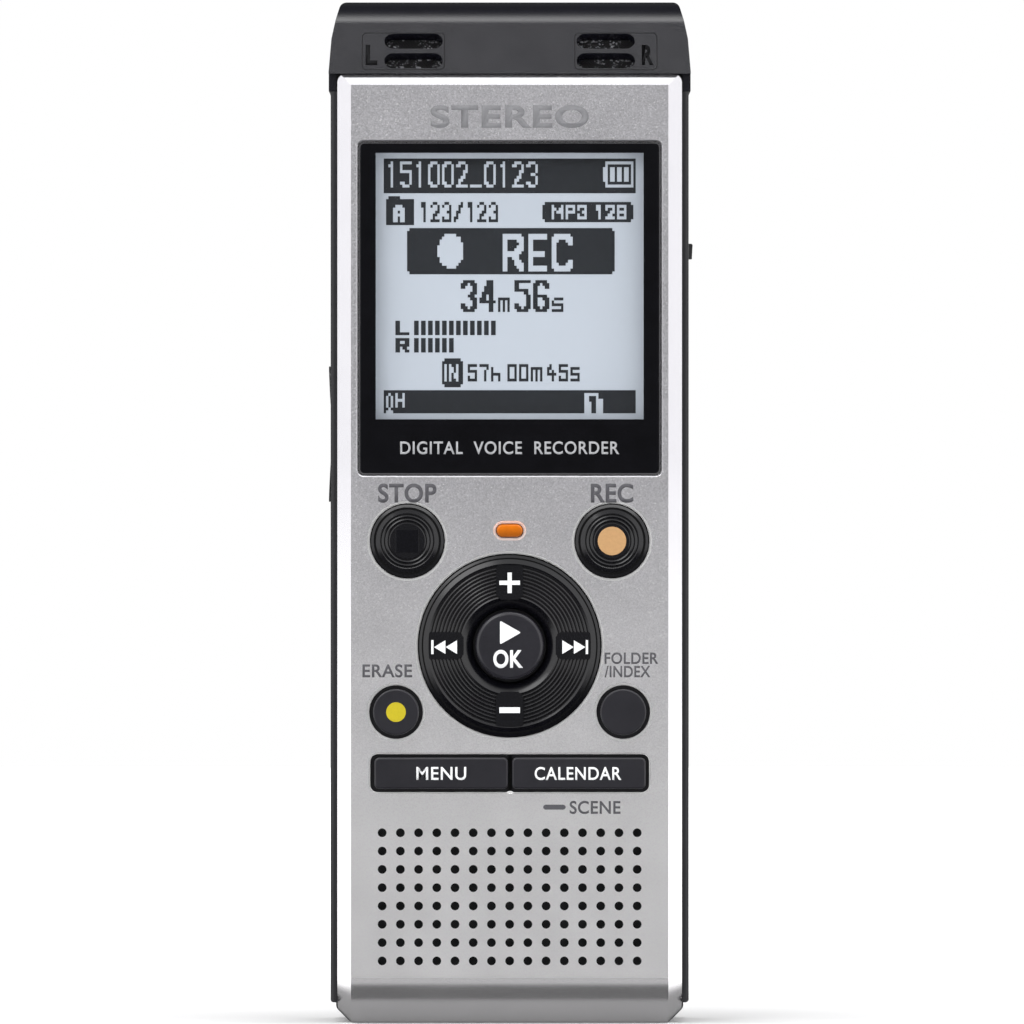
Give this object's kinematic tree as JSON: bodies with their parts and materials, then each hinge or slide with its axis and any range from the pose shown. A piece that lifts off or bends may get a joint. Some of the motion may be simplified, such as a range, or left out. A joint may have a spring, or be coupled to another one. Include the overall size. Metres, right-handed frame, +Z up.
{
  "type": "handheld audio recorder",
  "caption": "Handheld stereo voice recorder with dot-matrix display, keypad, tilting ring key, speaker grille, slide-out USB plug, battery door and stand.",
  "frame": {"origin": "middle of the bottom end, on the surface that the recorder stands on", "axes": "+Z up towards the microphones, -Y out of the display face, +Y out of the back, +X to the right of the display"},
  "size_m": [0.0398, 0.0184, 0.1115],
  "materials": {
    "silver_paint": "metallic silver paint on plastic, satin",
    "black_satin": "satin black",
    "black_gloss": "glossy black",
    "key_black": "satin black key tops",
    "window": "clear acrylic, black printed border",
    "tape": "double-sided tape",
    "lcd": "liquid crystal panel",
    "guide": "white light guide",
    "white_plastic": "matt white",
    "flex": "polyimide film",
    "amber": "translucent amber",
    "led": "small light source",
    "board": "green solder mask",
    "chip": "moulded package",
    "silicone": "soft rubber",
    "steel": "plain steel",
    "spring_steel": "nickel plated",
    "gold": "gold plated",
    "screw": "black oxide",
    "cloth": "fine black cloth",
    "foam": "foam ring",
    "cone": "thin film",
    "mesh": "fine woven mesh, black",
    "mic_can": "plain",
    "cell": "printed sleeve on a steel can, stands in with the cell's real mean density",
    "tray": "moulded, fine matt"
  },
  "bodies": {
    "housing": {"front_cover": "silver_paint", "display_window": "window", "window_tape": "tape", "lcd_glass": "lcd", "light_guide": "guide", "lcd_frame": "white_plastic", "lcd_flex": "flex", "led_lens": "amber", "record_led": "led", "key_retainer": "black_satin", "dome_switches": "spring_steel", "main_board": "board", "processor_chip": "chip", "memory_chip": "chip", "speaker_frame": "steel", "speaker_cone": "cone", "speaker_magnet": "steel", "speaker_gasket": "foam", "speaker_cloth": "cloth", "mic_cap": "black_gloss", "mic_mesh": "mesh", "left_microphone": "mic_can", "right_microphone": "mic_can", "left_mic_boot": "silicone", "right_mic_boot": "silicone", "rear_cover": "black_satin", "battery_tray": "tray", "battery_left": "cell", "battery_right": "cell", "battery_springs": "spring_steel", "battery_bridge_plate": "spring_steel", "battery_terminals": "spring_steel", "hold_switch_body": "tray", "microphone_jack": "black_gloss", "earphone_jack": "black_gloss", "card_socket": "steel", "memory_card": "chip", "case_screws": "screw", "board_screws": "steel"},
    "stop_key": {"stop_button": "key_black"},
    "record_key": {"rec_button": "key_black"},
    "erase_key": {"erase_button": "key_black"},
    "folder_key": {"folder_button": "key_black"},
    "menu_key": {"menu_button": "key_black"},
    "calendar_key": {"calendar_button": "key_black"},
    "centre_key": {"ok_button": "key_black"},
    "ring_carrier": {"nav_ring_web": "silicone"},
    "ring_key": {"nav_ring": "key_black"},
    "hold_slider": {"hold_knob": "black_satin"},
    "usb_plug": {"usb_shell": "steel", "usb_tongue": "white_plastic", "usb_contacts": "gold", "usb_carriage": "tray", "usb_lever": "black_satin"},
    "rear_door": {"battery_cover": "black_satin"},
    "kick_stand": {"stand": "black_satin"},
    "card_flap": {"card_cover": "black_satin"}
  },
  "joints": [
    {"name": "stop_press", "type": "slide", "parent": "housing", "child": "stop_key", "axis": [0, 1, 0], "range_m": [0, 0.0004], "stiffness_N_per_m": 700},
    {"name": "record_press", "type": "slide", "parent": "housing", "child": "record_key", "axis": [0, 1, 0], "range_m": [0, 0.0004], "stiffness_N_per_m": 700},
    {"name": "erase_press", "type": "slide", "parent": "housing", "child": "erase_key", "axis": [0, 1, 0], "range_m": [0, 0.0004], "stiffness_N_per_m": 700},
    {"name": "folder_press", "type": "slide", "parent": "housing", "child": "folder_key", "axis": [0, 1, 0], "range_m": [0, 0.0004], "stiffness_N_per_m": 700},
    {"name": "menu_press", "type": "slide", "parent": "housing", "child": "menu_key", "axis": [0, 1, 0], "range_m": [0, 0.0004], "stiffness_N_per_m": 700},
    {"name": "calendar_press", "type": "slide", "parent": "housing", "child": "calendar_key", "axis": [0, 1, 0], "range_m": [0, 0.0004], "stiffness_N_per_m": 700},
    {"name": "centre_press", "type": "slide", "parent": "housing", "child": "centre_key", "axis": [0, 1, 0], "range_m": [0, 0.0004], "stiffness_N_per_m": 700},
    {"name": "ring_tilt_up_down", "type": "hinge", "parent": "housing", "child": "ring_carrier", "pos_m": [0, -0.0066, 0.04117], "axis": [1, 0, 0], "range_deg": [-1.5, 1.5], "stiffness_Nm_per_rad": 0.03},
    {"name": "ring_tilt_left_right", "type": "hinge", "parent": "ring_carrier", "child": "ring_key", "pos_m": [0, -0.0066, 0.04117], "axis": [0, 0, 1], "range_deg": [-1.5, 1.5], "stiffness_Nm_per_rad": 0.03},
    {"name": "hold_slide", "type": "slide", "parent": "housing", "child": "hold_slider", "axis": [0, 0, 1], "range_m": [-0.0015, 0.0015]},
    {"name": "usb_slide", "type": "slide", "parent": "housing", "child": "usb_plug", "axis": [0, 0, -1], "range_m": [0, 0.0185]},
    {"name": "battery_door", "type": "hinge", "parent": "housing", "child": "rear_door", "pos_m": [0, 0.0084, 0.0792], "axis": [1, 0, 0], "range_deg": [0, 95]},
    {"name": "stand_swing", "type": "hinge", "parent": "housing", "child": "kick_stand", "pos_m": [0, 0.00805, 0.0963], "axis": [1, 0, 0], "range_deg": [0, 60]},
    {"name": "card_flap_swing", "type": "hinge", "parent": "housing", "child": "card_flap", "pos_m": [-0.019, -0.00095, 0.089], "axis": [0, 0, -1], "range_deg": [0, 100]}
  ]
}
